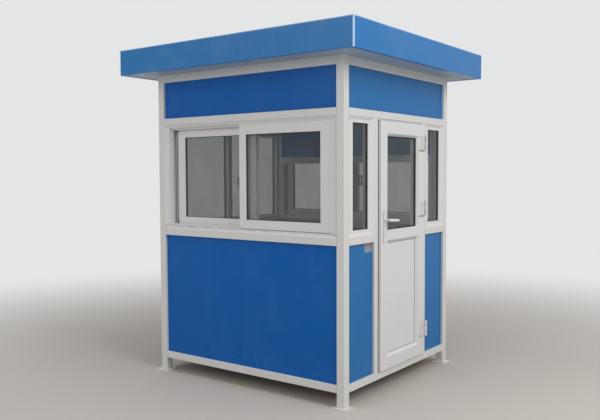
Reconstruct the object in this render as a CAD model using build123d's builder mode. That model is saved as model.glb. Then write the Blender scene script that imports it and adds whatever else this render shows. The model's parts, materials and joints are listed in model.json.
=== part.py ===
"""Security guard booth: a welded steel frame on four feet, filled with blue
panels and white sliding and fixed windows, with one outward-opening door and
a flat roof behind a deep fascia.

Millimetres. +Z is up and the origin is the centre of the footprint, on the
ground. The sliding window that shows in front faces -Y, and the door faces +X.
"""

from build123d import *
from math import atan2, degrees
import os

# Overall sizes of the welded frame
width = 1700.0              # along X, over the posts
depth = 1500.0              # along Y, over the posts
post_size = 60.0            # square corner post, which is also the wall's thickness
tube_wall = 2.5
tube_corner = 4.0           # outer corner radius of the posts
rail_corner = 3.0           # outer corner radius of the rails and jambs

# Heights above the ground
plate_thickness = 8.0
floor_clearance = 101.0     # ground to the underside of the bottom rails
bottom_rail_height = 50.0
lower_panel_height = 906.0
slim_rail = 50.0            # height of the sill and head rails, width of the door jambs
window_height = 787.0       # between the sill and head rails
upper_panel_height = 272.0
top_rail_height = 57.0

# Feet
plate_overhang = 25.0       # base plate beyond each face of its post
anchor_hole = 10.0
anchor_inset = 12.5         # hole centre to the plate's edge
plate_corner = 5.0

# Floor
deck_thickness = 18.0
joist_width = 30.0
joist_count = 3

# Wall panels
panel_thickness = 36.0
panel_recess = 18.0

# Sliding windows, front and rear
frame_recess = 12.0         # white window frames sit back from the steel by this
slider_depth = 80.0
slider_jamb = 50.0          # widths of the frame seen from the front
slider_sill = 25.0
slider_head = 24.0
track_fin = 6.0
track_height = 14.0
sash_thickness = 34.0
sash_skin = 12.0            # each skin that straddles the track fin
sash_gap = 4.0              # skin edge to the frame
sash_groove = 14.0          # groove at the top and at the jamb, round the fin
meeting_stile = 61.0        # widths of a sash's frame round its glass
outer_jamb_stile = 81.0
inner_jamb_stile = 68.0
sash_bottom_rail = 63.0
sash_top_rail = 68.0
outer_sash_reach = 44.0     # how far each closed sash reaches past mid-window
inner_sash_reach = 30.0
inner_sash_ajar = 45.5      # the inner sash stands a little open
glass_setback = 12.0        # face of a frame or sash to its glass
inner_bead = 9.0            # slope of the glazing bead behind the glass
pane_thickness = 5.0
pane_rebate = 8.0           # how far a pane runs into its frame
profile_edge = 2.0          # bevel on the plastic profiles' outer edges
weep_from_end = 390.0       # drain slots in the outer frame's sill
weep_length = 34.0
weep_height = 5.0
weep_level = 5.0            # centre of the slot above the frame's underside
weep_depth = 10.0

# Fixed windows, on the left wall and beside the door
fixed_depth = 48.0
fixed_jamb = 62.0           # widths of the frame round its glass
fixed_head = 41.0
fixed_sill = 43.0
fixed_mullion = 60.0
sidelight_width = 314.0

# Door opening, frame and leaf
door_frame_recess = 6.0
door_frame_face = 20.0
leaf_proud = 18.0           # face of the leaf beyond the steel
leaf_thickness = 60.0
flange_thickness = 18.0
flange_reveal = 6.0         # door frame seen beside the leaf
flange_head_reveal = 12.0   # and above it
floor_gap = 5.5
body_gap = 6.0              # leaf's inner body to the frame, hinge side
latch_gap = 10.0            # and latch side, where the corner swings out
body_floor_gap = 9.0
leaf_stile = 88.0           # stile and rail faces, outside the bead
leaf_rail = 86.0
leaf_bead = 20.0
leaf_glass_depth = 23.0     # face of the leaf to the face of the glass
mid_rail_bottom = 1060.0
mid_rail_flat = 55.0
kick_panel_thickness = 20.0

# Door hinges
hinge_height = 110.0
low_hinge = 352.0           # heights of the hinges' middles
middle_hinge = 1260.0
high_hinge = 1747.0
knuckle_radius = 12.0
pin_radius = 4.0
pin_clearance = 0.08
pin_head = 3.0
knuckle_share = 0.42        # of the hinge's height, on the door
knuckle_gap = 0.3
hinge_axis_beyond = 8.0     # axis beyond the leaf's edge
hinge_plate = 5.0
door_plate_width = 50.0
frame_plate_width = 30.0
hinge_plate_inset = 4.0
flag_corner = 5.0           # cut off each corner of a hinge plate

# Door handle
handle_height = 1203.0
handle_plate_width = 34.0
handle_plate_up = 72.0
handle_plate_down = 158.0
handle_plate_thickness = 8.0
handle_bevel = 2.0
lever_neck_radius = 9.0
neck_clearance = 0.1
neck_start = 0.5            # face of the leaf to the end of the neck
lever_length = 110.0
lever_droop = 6.0           # tip of the lever below its neck
lever_standoff = 42.0       # plate to the lever's centre line
lever_height = 20.0         # at the neck
lever_tip_height = 16.0
lever_thickness = 13.0
spindle_size = 8.0
spindle_bore = 7.0          # radius
cylinder_drop = 92.0        # lock cylinder below the lever
cylinder_radius = 8.5
cylinder_proud = 3.0
keyhole_width = 2.4
keyhole_height = 9.0
keyhole_depth = 5.0

# Latch on the edge of each outer sash's meeting stile
latch_height = 1464.0
latch_length = 86.0
latch_reach = 36.0
latch_setback = 6.0         # face of the sash to the latch
latch_depth = 22.0
latch_plate = 3.0
latch_grip = 7.0
latch_low_finger = 22.0
latch_middle_finger = 8.0
latch_high_finger = 18.0

# Roof
overhang = 200.0            # outermost face of the roof beyond the posts
fascia_height = 187.0
fascia_sheet = 2.0
fascia_lip = 25.0
trim_leg = 11.0
trim_sheet = 2.0
trim_round = 4.0
roof_thickness = 50.0
rib_count = 6
rib_height = 32.0
rib_base = 70.0
rib_top = 30.0

# Levels that follow from the heights
floor_level = floor_clearance + bottom_rail_height
sill_bottom = floor_level + lower_panel_height
window_bottom = sill_bottom + slim_rail
window_top = window_bottom + window_height
upper_bottom = window_top + slim_rail
upper_top = upper_bottom + upper_panel_height
eaves = upper_top + top_rail_height
fascia_bottom = eaves - fascia_sheet
fascia_top = fascia_bottom + fascia_height

# Each wall has its own plane: local X runs along the wall from left to right
# as seen from outside, local Y runs up, and local Z points outwards.
walls = {
    "front": Plane(origin=(-width / 2, -depth / 2, 0), x_dir=(1, 0, 0), z_dir=(0, -1, 0)),
    "right": Plane(origin=(width / 2, -depth / 2, 0), x_dir=(0, 1, 0), z_dir=(1, 0, 0)),
    "rear": Plane(origin=(width / 2, depth / 2, 0), x_dir=(-1, 0, 0), z_dir=(0, 1, 0)),
    "left": Plane(origin=(-width / 2, depth / 2, 0), x_dir=(0, -1, 0), z_dir=(-1, 0, 0)),
}
wall_length = {"front": width, "right": depth, "rear": width, "left": depth}

# The door's place along the right wall
near_sidelight = (post_size, post_size + sidelight_width)
far_sidelight = (depth - post_size - sidelight_width, depth - post_size)
door_opening = (near_sidelight[1] + slim_rail, far_sidelight[0] - slim_rail)
leaf_edge = (door_opening[0] + flange_reveal, door_opening[1] - flange_reveal)
leaf_level = (floor_level + floor_gap, window_top - flange_head_reveal)
body_edge = (door_opening[0] + door_frame_face + latch_gap,
             door_opening[1] - door_frame_face - body_gap)
body_level = (floor_level + body_floor_gap, window_top - door_frame_face - body_gap)
leaf_inside = leaf_thickness - leaf_proud      # depth of the leaf's inner face
hinge_axis_along = leaf_edge[1] + hinge_axis_beyond
hinge_axis_out = leaf_proud + knuckle_radius
handle_along = leaf_edge[0] + leaf_stile / 2

os.makedirs("parts", exist_ok=True)


def save(part, name):
    """Label a finished piece and write it to its own file."""
    part.label = name
    export_step(part, f"parts/{name}.step")


def rectangle(plane, along, up):
    """A rectangle on a wall's plane, from its two ranges."""
    with BuildSketch(plane) as outline:
        with Locations(((along[0] + along[1]) / 2, (up[0] + up[1]) / 2)):
            Rectangle(along[1] - along[0], up[1] - up[0])
    return outline.sketch


def slab(wall, along, up, inwards, mode=Mode.ADD, taper=0):
    """A block of a wall, between two depths behind the wall's outer face."""
    face = rectangle(walls[wall].offset(-inwards[0]), along, up)
    extrude(face, amount=inwards[0] - inwards[1], mode=mode, taper=taper)


def shrink(span, by):
    """A range that is smaller by the same amount at both ends."""
    return (span[0] + by, span[1] - by)


def tube_along(wall, along, up):
    """A hollow rail that fills the wall's thickness and runs along the wall."""
    start = walls[wall].location * Location((along[0], 0, 0))
    section_plane = Plane(start.position, x_dir=walls[wall].z_dir, z_dir=walls[wall].x_dir)
    hollow_tube(section_plane, (-post_size / 2, (up[0] + up[1]) / 2), post_size,
                up[1] - up[0], rail_corner, along[1] - along[0])


def hollow_tube(plane, centre, size_x, size_y, corner, length):
    """A rectangular hollow section with rounded corners."""
    x, y = centre
    turned = y if plane.y_dir.Z > 0 else -y
    with BuildSketch(plane) as section:
        with Locations((x, turned)):
            RectangleRounded(size_x, size_y, corner)
            Rectangle(size_x - 2 * tube_wall, size_y - 2 * tube_wall, mode=Mode.SUBTRACT)
    extrude(section.sketch, amount=length)


def glazed_opening(wall, along, up, depths, setback, pane, front_bead=0, back_bead=0):
    """Cut an opening and its pane's groove, with beads that slope to the pane."""
    front, back = depths
    pane_front = front + setback
    pane_back = pane_front + pane
    slab(wall, along, up, depths, Mode.SUBTRACT)
    for bead, face, edge in ((front_bead, front, pane_front), (back_bead, back, pane_back)):
        if bead:
            slab(wall, shrink(along, -bead), shrink(up, -bead), (face, edge), Mode.SUBTRACT,
                 degrees(atan2(bead, abs(edge - face))))
    slab(wall, shrink(along, -pane_rebate), shrink(up, -pane_rebate), (pane_front, pane_back),
         Mode.SUBTRACT)


def bevel_outer_face(piece, wall, size):
    """Bevel every edge of a piece's outermost faces, as seen from outside the wall."""
    outwards = Axis((0, 0, 0), tuple(walls[wall].z_dir))
    chamfer(piece.faces().group_by(outwards)[-1].edges(), size)


# Corner posts and their base plates
post_x = width / 2 - post_size / 2
post_y = depth / 2 - post_size / 2
plate_size = post_size + 2 * plate_overhang

with BuildPart() as corner_posts:
    with BuildSketch(Plane.XY.offset(plate_thickness)):
        with GridLocations(2 * post_x, 2 * post_y, 2, 2):
            RectangleRounded(post_size, post_size, tube_corner)
            Rectangle(post_size - 2 * tube_wall, post_size - 2 * tube_wall, mode=Mode.SUBTRACT)
    extrude(amount=eaves - plate_thickness)
save(corner_posts.part, "corner_posts")

with BuildPart() as base_plates:
    with BuildSketch() as plate_outline:
        with GridLocations(2 * post_x, 2 * post_y, 2, 2):
            Rectangle(plate_size, plate_size)
        chamfer(plate_outline.vertices(), plate_corner)
        with GridLocations(2 * post_x, 2 * post_y, 2, 2):
            with GridLocations(plate_size - 2 * anchor_inset, plate_size - 2 * anchor_inset, 2, 2):
                Circle(anchor_hole / 2, mode=Mode.SUBTRACT)
    extrude(amount=plate_thickness)
save(base_plates.part, "base_plates")

# Horizontal rails between the posts
for level, (low, high) in {
    "bottom_rails": (floor_clearance, floor_level),
    "head_rails": (window_top, upper_bottom),
    "top_rails": (upper_top, eaves),
}.items():
    with BuildPart() as rails:
        for wall in walls:
            tube_along(wall, shrink((0, wall_length[wall]), post_size), (low, high))
    save(rails.part, level)

with BuildPart() as sill_rails:
    for wall in ("front", "rear", "left"):
        tube_along(wall, shrink((0, wall_length[wall]), post_size), (sill_bottom, window_bottom))
    for sidelight in (near_sidelight, far_sidelight):
        tube_along("right", sidelight, (sill_bottom, window_bottom))
save(sill_rails.part, "sill_rails")

# Upright jambs each side of the door, between the bottom and head rails
with BuildPart() as door_jambs:
    with BuildSketch(Plane.XY.offset(floor_level)):
        for along in (door_opening[0] - slim_rail / 2, door_opening[1] + slim_rail / 2):
            with Locations((width / 2 - post_size / 2, along - depth / 2)):
                RectangleRounded(post_size, slim_rail, rail_corner)
                Rectangle(post_size - 2 * tube_wall, slim_rail - 2 * tube_wall,
                          mode=Mode.SUBTRACT)
    extrude(amount=window_top - floor_level)
save(door_jambs.part, "door_jambs")

# Floor: a deck between the bottom rails, on joists
with BuildPart() as floor_deck:
    with BuildSketch(Plane.XY.offset(floor_level - deck_thickness)):
        Rectangle(width - 2 * post_size, depth - 2 * post_size)
    extrude(amount=deck_thickness)
save(floor_deck.part, "floor_deck")

joist_height = bottom_rail_height - deck_thickness
joist_pitch = (width - 2 * post_size) / (joist_count + 1)
with BuildPart() as floor_joists:
    with BuildSketch(Plane.XY.offset(floor_clearance)):
        with GridLocations(joist_pitch, 0, joist_count, 1):
            Rectangle(joist_width, depth - 2 * post_size)
    extrude(amount=joist_height)
save(floor_joists.part, "floor_joists")

# Wall panels
panel_depths = (panel_recess, panel_recess + panel_thickness)
for wall in walls:
    with BuildPart() as upper_panel:
        slab(wall, shrink((0, wall_length[wall]), post_size), (upper_bottom, upper_top), panel_depths)
    save(upper_panel.part, f"upper_panel_{wall}")

lower_panels = {
    "front": ("front", shrink((0, width), post_size)),
    "rear": ("rear", shrink((0, width), post_size)),
    "left": ("left", shrink((0, depth), post_size)),
    "door_near": ("right", near_sidelight),
    "door_far": ("right", far_sidelight),
}
for name, (wall, along) in lower_panels.items():
    with BuildPart() as lower_panel:
        slab(wall, along, (floor_level, sill_bottom), panel_depths)
    save(lower_panel.part, f"lower_panel_{name}")

# Sliding windows
slider_along = shrink((0, width), post_size)
slider_up = (window_bottom, window_top)
slider_back = frame_recess + slider_depth
track_depths = (frame_recess + slider_depth / 4, frame_recess + 3 * slider_depth / 4)
clear_along = shrink(slider_along, slider_jamb)
clear_up = (slider_up[0] + slider_sill, slider_up[1] - slider_head)
sash_up = shrink(clear_up, sash_gap)
# The groove under a sash is as deep as the fin it stands on reaches into it
seat_groove = track_height - sash_gap


def sliding_frame(piece, wall):
    """The outer frame, a flat ring with a track fin for each sash and drain slots in its sill."""
    slab(wall, slider_along, slider_up, (frame_recess, slider_back))
    slab(wall, clear_along, clear_up, (frame_recess, slider_back), Mode.SUBTRACT)
    bevel_outer_face(piece, wall, profile_edge)
    for track in track_depths:
        span = (track - track_fin / 2, track + track_fin / 2)
        slab(wall, clear_along, clear_up, span)
        slab(wall, shrink(clear_along, track_height), shrink(clear_up, track_height),
             span, Mode.SUBTRACT)
    level = slider_up[0] + weep_level
    for centre in shrink(slider_along, weep_from_end):
        slab(wall, (centre - weep_length / 2, centre + weep_length / 2),
             (level - weep_height / 2, level + weep_height / 2),
             (frame_recess, frame_recess + weep_depth), Mode.SUBTRACT)


def sash(wall, along, track, stiles, grooves):
    """A sliding sash: two skins that straddle the track fins, round one pane."""
    front = track - sash_thickness / 2
    back = track + sash_thickness / 2
    groove = (front + sash_skin, back - sash_skin)
    core_along = (along[0] + grooves[0], along[1] - grooves[1])
    core_up = (sash_up[0] + seat_groove, sash_up[1] - sash_groove)
    slab(wall, along, sash_up, (front, back))
    slab(wall, along, sash_up, groove, Mode.SUBTRACT)
    slab(wall, core_along, core_up, groove)
    pane_along, pane_up = sash_pane(along, stiles)
    glazed_opening(wall, pane_along, pane_up, (front, back), glass_setback, pane_thickness,
                   back_bead=inner_bead)


def sash_pane(along, stiles):
    """The part of a sash's pane that shows, for its left and right stiles."""
    pane_along = (along[0] + stiles[0], along[1] - stiles[1])
    pane_up = (sash_up[0] + sash_bottom_rail, sash_up[1] - sash_top_rail)
    return pane_along, pane_up


mid_window = width / 2
outer_along = (mid_window - outer_sash_reach, clear_along[1] - sash_gap)
inner_along = (clear_along[0] + sash_gap + inner_sash_ajar,
               mid_window + inner_sash_reach + inner_sash_ajar)
outer_stiles = (meeting_stile, outer_jamb_stile)
inner_stiles = (inner_jamb_stile, meeting_stile)

for wall in ("front", "rear"):
    with BuildPart() as window_frame:
        sliding_frame(window_frame, wall)
    save(window_frame.part, f"{wall}_window_frame")
    with BuildPart() as outer_sash:
        sash(wall, outer_along, track_depths[0], outer_stiles, (0, sash_groove))
        bevel_outer_face(outer_sash, wall, profile_edge)
    save(outer_sash.part, f"{wall}_window_outer_sash")
    with BuildPart() as inner_sash:
        sash(wall, inner_along, track_depths[1], inner_stiles, (sash_groove, 0))
        bevel_outer_face(inner_sash, wall, profile_edge)
    save(inner_sash.part, f"{wall}_window_inner_sash")
    with BuildPart() as window_glass:
        for along, track, stiles in ((outer_along, track_depths[0], outer_stiles),
                                     (inner_along, track_depths[1], inner_stiles)):
            pane_along, pane_up = sash_pane(along, stiles)
            pane_front = track - sash_thickness / 2 + glass_setback
            slab(wall, shrink(pane_along, -pane_rebate), shrink(pane_up, -pane_rebate),
                 (pane_front, pane_front + pane_thickness))
    save(window_glass.part, f"{wall}_window_glass")

# A latch on the edge of each outer sash: a plate with three fingers and a grip bar
with BuildPart() as sash_latches:
    latch_edge = outer_along[0]
    latch_low = latch_height - latch_length / 2
    latch_high = latch_height + latch_length / 2
    latch_front = track_depths[0] - sash_thickness / 2 + latch_setback
    latch_back = latch_front + latch_depth
    fingers = (
        (latch_low, latch_low + latch_low_finger),
        (latch_height - latch_middle_finger / 2, latch_height + latch_middle_finger / 2),
        (latch_high - latch_high_finger, latch_high),
    )
    for wall in ("front", "rear"):
        slab(wall, (latch_edge - latch_plate, latch_edge), (latch_low, latch_high),
             (latch_front, latch_back))
        slab(wall, (latch_edge - latch_reach, latch_edge - latch_reach + latch_grip),
             (latch_low, latch_high), (latch_back - latch_grip, latch_back))
        for finger in fingers:
            slab(wall, (latch_edge - latch_reach, latch_edge), finger,
                 (latch_front + latch_plate, latch_back))
save(sash_latches.part, "sash_latches")

# Fixed windows
fixed_back = frame_recess + fixed_depth
fixed_glass = frame_recess + glass_setback
fixed_up = (slider_up[0] + fixed_sill, slider_up[1] - fixed_head)


def fixed_panes(along, count):
    """The parts of a fixed window's panes that show, side by side."""
    clear = shrink(along, fixed_jamb)
    pane = (clear[1] - clear[0] - (count - 1) * fixed_mullion) / count
    starts = [clear[0] + number * (pane + fixed_mullion) for number in range(count)]
    return [(start, start + pane) for start in starts]


def fixed_frame(wall, along, count):
    """A fixed window's frame, with a sloping bead behind each pane."""
    slab(wall, along, slider_up, (frame_recess, fixed_back))
    for pane in fixed_panes(along, count):
        glazed_opening(wall, pane, fixed_up, (frame_recess, fixed_back), glass_setback,
                       pane_thickness, back_bead=inner_bead)


def fixed_glazing(wall, along, count):
    """The panes that stand in a fixed window's grooves."""
    for pane in fixed_panes(along, count):
        slab(wall, shrink(pane, -pane_rebate), shrink(fixed_up, -pane_rebate),
             (fixed_glass, fixed_glass + pane_thickness))


left_along = shrink((0, depth), post_size)
with BuildPart() as left_window_frame:
    fixed_frame("left", left_along, 2)
    bevel_outer_face(left_window_frame, "left", profile_edge)
save(left_window_frame.part, "left_window_frame")
with BuildPart() as left_window_glass:
    fixed_glazing("left", left_along, 2)
save(left_window_glass.part, "left_window_glass")

with BuildPart() as sidelight_frames:
    for along in (near_sidelight, far_sidelight):
        fixed_frame("right", along, 1)
    bevel_outer_face(sidelight_frames, "right", profile_edge)
save(sidelight_frames.part, "sidelight_frames")
with BuildPart() as sidelight_glass:
    for along in (near_sidelight, far_sidelight):
        fixed_glazing("right", along, 1)
save(sidelight_glass.part, "sidelight_glass")

# Door frame: two jambs and a head, which the leaf's flange closes over
with BuildPart() as door_frame:
    frame_up = (floor_level, window_top)
    inside = (door_opening[0] + door_frame_face, door_opening[1] - door_frame_face)
    inside_up = (floor_level, window_top - door_frame_face)
    slab("right", door_opening, frame_up, (door_frame_recess, post_size))
    slab("right", inside, inside_up, (door_frame_recess, post_size), Mode.SUBTRACT)
save(door_frame.part, "door_frame")

# Door leaf: a flange that covers the frame, and a body that stands inside it
leaf_pane_along = shrink(leaf_edge, leaf_stile + leaf_bead)
leaf_pane_up = (mid_rail_bottom + mid_rail_flat + leaf_bead, leaf_level[1] - leaf_rail - leaf_bead)
kick_up = (leaf_level[0] + leaf_rail + leaf_bead, mid_rail_bottom - leaf_bead)
flange_back = flange_thickness - leaf_proud
leaf_glass_face = leaf_glass_depth - leaf_proud

with BuildPart() as door_leaf:
    slab("right", leaf_edge, leaf_level, (-leaf_proud, flange_back))
    bevel_outer_face(door_leaf, "right", profile_edge)
    slab("right", body_edge, body_level, (flange_back, leaf_inside))
    for up, thickness in ((leaf_pane_up, pane_thickness), (kick_up, kick_panel_thickness)):
        glazed_opening("right", leaf_pane_along, up, (-leaf_proud, leaf_inside), leaf_glass_depth,
                       thickness, front_bead=leaf_bead)
    with BuildSketch(walls["right"].offset(leaf_proud)) as bore:
        with Locations((handle_along, handle_height)):
            Circle(spindle_bore)
    extrude(bore.sketch, amount=-leaf_thickness, mode=Mode.SUBTRACT)
save(door_leaf.part, "door_leaf")

with BuildPart() as door_glass:
    slab("right", shrink(leaf_pane_along, -pane_rebate), shrink(leaf_pane_up, -pane_rebate),
         (leaf_glass_face, leaf_glass_face + pane_thickness))
save(door_glass.part, "door_glass")

with BuildPart() as door_kick_panel:
    slab("right", shrink(leaf_pane_along, -pane_rebate), shrink(kick_up, -pane_rebate),
         (leaf_glass_face, leaf_glass_face + kick_panel_thickness))
save(door_kick_panel.part, "door_kick_panel")

# Hinges: outer knuckles and the pin on the frame, the middle knuckle on the leaf
hinge_x = width / 2 + hinge_axis_out
hinge_y = hinge_axis_along - depth / 2
door_knuckle = knuckle_share * hinge_height
frame_knuckle = (hinge_height - door_knuckle) / 2 - knuckle_gap


def hinge_spans(level):
    """The heights of a hinge's lower, middle and upper knuckles."""
    low = level - hinge_height / 2
    middle = (level - door_knuckle / 2, level + door_knuckle / 2)
    return (low, low + frame_knuckle), middle, (low + hinge_height - frame_knuckle, low + hinge_height)


def knuckle(span, bore):
    """One barrel of a hinge, round the door's axis."""
    with BuildSketch(Plane.XY.offset(span[0])) as barrel:
        with Locations((hinge_x, hinge_y)):
            Circle(knuckle_radius)
            if bore:
                Circle(pin_radius + pin_clearance, mode=Mode.SUBTRACT)
    extrude(barrel.sketch, amount=span[1] - span[0])


def flag(along, up, depth_behind):
    """A hinge's flat plate, with its corners cut off, whose back lies at a depth."""
    with BuildSketch(walls["right"].offset(-depth_behind)) as plate:
        with Locations(((along[0] + along[1]) / 2, (up[0] + up[1]) / 2)):
            Rectangle(along[1] - along[0], up[1] - up[0])
        chamfer(plate.vertices(), flag_corner)
    extrude(plate.sketch, amount=hinge_plate)


hinge_levels = (low_hinge, middle_hinge, high_hinge)

with BuildPart() as hinge_frame_leaves:
    plate_start = door_opening[1] + rail_corner
    plate_along = (plate_start, plate_start + frame_plate_width)
    for level in hinge_levels:
        lower, middle, upper = hinge_spans(level)
        flag(plate_along, (lower[0], upper[1]), 0)
        for span in (lower, upper):
            knuckle(span, False)
            slab("right", (plate_start, hinge_axis_along + knuckle_radius), span,
                 (-hinge_axis_out, 0))
        with BuildSketch(Plane.XY.offset(lower[0])) as pin:
            with Locations((hinge_x, hinge_y)):
                Circle(pin_radius)
        extrude(pin.sketch, amount=hinge_height + pin_head)
save(hinge_frame_leaves.part, "hinge_frame_leaves")

with BuildPart() as hinge_door_leaves:
    plate_end = leaf_edge[1] - hinge_plate_inset
    for level in hinge_levels:
        lower, middle, upper = hinge_spans(level)
        flag((plate_end - door_plate_width, plate_end), (lower[0], upper[1]), -leaf_proud)
        slab("right", (plate_end - flag_corner, hinge_axis_along), middle,
             (-hinge_axis_out - hinge_plate, -leaf_proud))
        knuckle(middle, False)
        with BuildSketch(Plane.XY.offset(middle[0])) as bore:
            with Locations((hinge_x, hinge_y)):
                Circle(pin_radius + pin_clearance)
        extrude(bore.sketch, amount=door_knuckle, mode=Mode.SUBTRACT)
save(hinge_door_leaves.part, "hinge_door_leaves")

# Door handle: a long plate on each face, and levers joined by their spindle
plate_up = (handle_height - handle_plate_down, handle_height + handle_plate_up)
handle_faces = ((-leaf_proud, -1), (leaf_inside, 1))    # depth of the face, way out of it

outwards = Axis((0, 0, 0), tuple(walls["right"].z_dir))

with BuildPart() as handle_plates:
    for face, way in handle_faces:
        with BuildSketch(walls["right"].offset(-face)) as plate:
            with Locations((handle_along, (plate_up[0] + plate_up[1]) / 2)):
                SlotOverall(plate_up[1] - plate_up[0], handle_plate_width, rotation=90)
        extrude(plate.sketch, amount=-way * handle_plate_thickness)
    # Bevel the rims of both plates, then bore them and set the lock's cylinder in
    for far_face in (handle_plates.faces().sort_by(outwards)[-1],
                     handle_plates.faces().sort_by(outwards)[0]):
        chamfer(far_face.edges(), handle_bevel)
    for face, way in handle_faces:
        with BuildSketch(walls["right"].offset(-face)) as neck_bore:
            with Locations((handle_along, handle_height)):
                Circle(lever_neck_radius + neck_clearance)
        extrude(neck_bore.sketch, amount=-way * handle_plate_thickness, mode=Mode.SUBTRACT)
        with BuildSketch(walls["right"].offset(-face)) as cylinder:
            with Locations((handle_along, handle_height - cylinder_drop)):
                Circle(cylinder_radius)
        cylinder_length = handle_plate_thickness + cylinder_proud
        extrude(cylinder.sketch, amount=-way * cylinder_length)
        with BuildSketch(walls["right"].offset(-face - way * cylinder_length)) as keyhole:
            with Locations((handle_along, handle_height - cylinder_drop)):
                Rectangle(keyhole_width, keyhole_height)
        extrude(keyhole.sketch, amount=way * keyhole_depth, mode=Mode.SUBTRACT)
save(handle_plates.part, "handle_plates")


def lever_outline(depth_behind):
    """A lever that droops a little from its rounded root to its rounded, slimmer tip."""
    wall = walls["right"].offset(-depth_behind)
    neck_axis = wall.from_local_coords((handle_along, handle_height, 0))
    with BuildSketch(Plane(neck_axis, x_dir=wall.x_dir, z_dir=wall.z_dir)) as outline:
        Circle(lever_height / 2)
        with Locations((lever_length, -lever_droop)):
            Circle(lever_tip_height / 2)
        make_hull()
    return outline.sketch


with BuildPart() as door_levers:
    for face, way in handle_faces:
        centre = face + way * (handle_plate_thickness + lever_standoff)
        extrude(lever_outline(centre), amount=lever_thickness / 2, both=True)
    for far_face in (door_levers.faces().sort_by(outwards)[-1],
                     door_levers.faces().sort_by(outwards)[0]):
        chamfer(far_face.edges(), handle_bevel)
    for face, way in handle_faces:
        start = face + way * neck_start
        centre = face + way * (handle_plate_thickness + lever_standoff)
        with BuildSketch(walls["right"].offset(-start)) as neck:
            with Locations((handle_along, handle_height)):
                Circle(lever_neck_radius)
        extrude(neck.sketch, amount=-(centre - start))
    with BuildSketch(walls["right"].offset(leaf_proud - leaf_thickness / 2)) as spindle:
        with Locations((handle_along, handle_height)):
            Rectangle(spindle_size, spindle_size)
    extrude(spindle.sketch, amount=leaf_thickness / 2 + handle_plate_thickness, both=True)
save(door_levers.part, "door_levers")

# Roof: a ribbed sandwich panel inside a folded fascia, with corner trims
face_x = width / 2 + overhang - trim_sheet
face_y = depth / 2 + overhang - trim_sheet
panel_x = face_x - fascia_sheet
panel_y = face_y - fascia_sheet
rib_pitch = 2 * panel_x / rib_count

with BuildPart() as roof_panel:
    with BuildSketch(Plane.XY.offset(eaves)):
        Rectangle(2 * panel_x, 2 * panel_y)
    extrude(amount=roof_thickness)
    with BuildSketch(Plane((0, panel_y, eaves + roof_thickness), x_dir=(1, 0, 0), z_dir=(0, -1, 0))):
        with GridLocations(rib_pitch, 0, rib_count, 1):
            Trapezoid(rib_base, rib_height, degrees(atan2(rib_height, (rib_base - rib_top) / 2)),
                      align=(Align.CENTER, Align.MIN))
    extrude(amount=2 * panel_y)
save(roof_panel.part, "roof_panel")


def fascia(plane, run):
    """A folded sheet with a lip at the top and bottom, mitred at both ends."""
    with BuildSketch(plane) as section:
        with BuildLine():
            Polyline((0, 0), (-fascia_lip, 0), (-fascia_lip, fascia_sheet),
                     (-fascia_sheet, fascia_sheet), (-fascia_sheet, fascia_height - fascia_sheet),
                     (-fascia_lip, fascia_height - fascia_sheet), (-fascia_lip, fascia_height),
                     (0, fascia_height), close=True)
        make_face()
    extrude(section.sketch, amount=run, both=True)
    for end in (-1, 1):
        corner = plane.origin + plane.z_dir * (end * run)
        keep = plane.x_dir - plane.z_dir * end
        split(bisect_by=Plane(corner, z_dir=keep), keep=Keep.TOP)


fascia_planes = {
    "front": (Plane((0, -face_y, fascia_bottom), x_dir=(0, -1, 0), z_dir=(-1, 0, 0)), face_x),
    "rear": (Plane((0, face_y, fascia_bottom), x_dir=(0, 1, 0), z_dir=(1, 0, 0)), face_x),
    "left": (Plane((-face_x, 0, fascia_bottom), x_dir=(-1, 0, 0), z_dir=(0, 1, 0)), face_y),
    "right": (Plane((face_x, 0, fascia_bottom), x_dir=(1, 0, 0), z_dir=(0, -1, 0)), face_y),
}
for side, (plane, run) in fascia_planes.items():
    with BuildPart() as fascia_sheet_part:
        fascia(plane, run)
    save(fascia_sheet_part.part, f"fascia_{side}")

with BuildPart() as corner_trims:
    for side_x, side_y in ((-1, -1), (1, -1), (1, 1), (-1, 1)):
        with BuildSketch(Plane.XY.offset(fascia_bottom)) as angle:
            with BuildLine():
                outer_x = side_x * (face_x + trim_sheet)
                outer_y = side_y * (face_y + trim_sheet)
                inner_x = side_x * face_x
                inner_y = side_y * face_y
                end_x = side_x * (face_x + trim_sheet - trim_leg)
                end_y = side_y * (face_y + trim_sheet - trim_leg)
                Polyline((end_x, outer_y), (outer_x, outer_y), (outer_x, end_y),
                         (inner_x, end_y), (inner_x, inner_y), (end_x, inner_y), close=True)
            make_face()
            fillet(angle.vertices().sort_by_distance((0, 0))[-1], trim_round)
        extrude(angle.sketch, amount=fascia_height)
save(corner_trims.part, "corner_trims")
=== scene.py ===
import json
import math

import bmesh
import bpy
from mathutils import Matrix, Vector

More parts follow.
